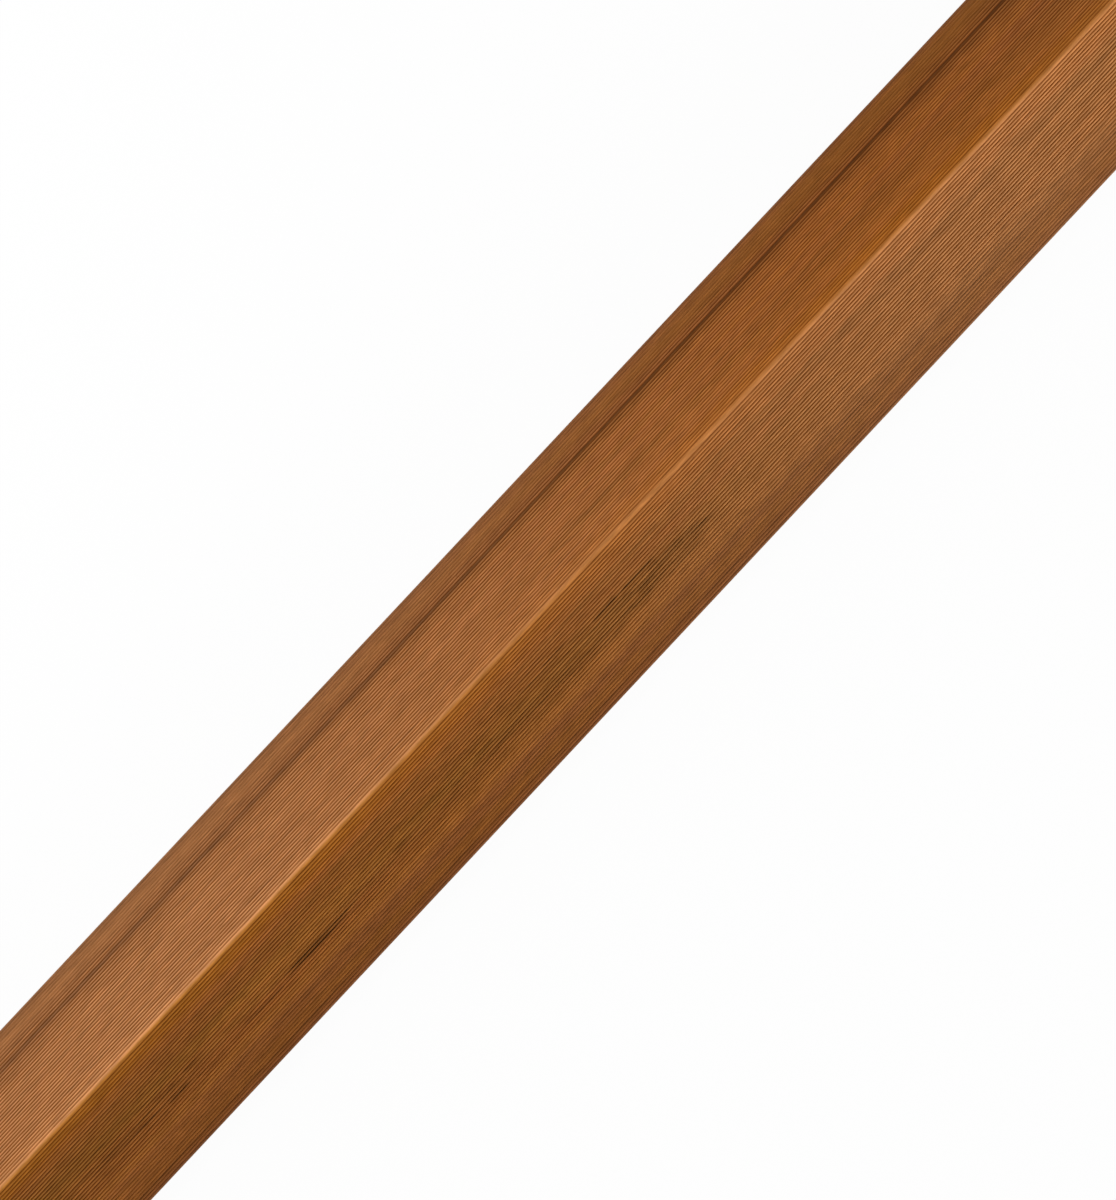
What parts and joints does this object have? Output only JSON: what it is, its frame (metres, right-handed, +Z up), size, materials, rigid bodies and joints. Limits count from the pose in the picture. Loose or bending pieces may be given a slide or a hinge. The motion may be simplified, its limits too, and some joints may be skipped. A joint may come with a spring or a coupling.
{
  "type": "composite corner trim",
  "caption": "Long equal-leg angle trim in wood-tone composite, with finely reeded faces, rounded edges and square sawn ends; it covers an outside corner of cladding or decking.",
  "frame": {"origin": "on the floor, under the arris, halfway along the trim, which lies on the edges of its two legs", "axes": "+X along the trim, +Y across it, towards the leg on that side, +Z up, through the arris"},
  "size_m": [2.2, 0.0698, 0.04],
  "materials": {
    "wood_composite": "satin"
  },
  "bodies": {
    "root": {"corner_trim": "wood_composite"}
  },
  "joints": []
}
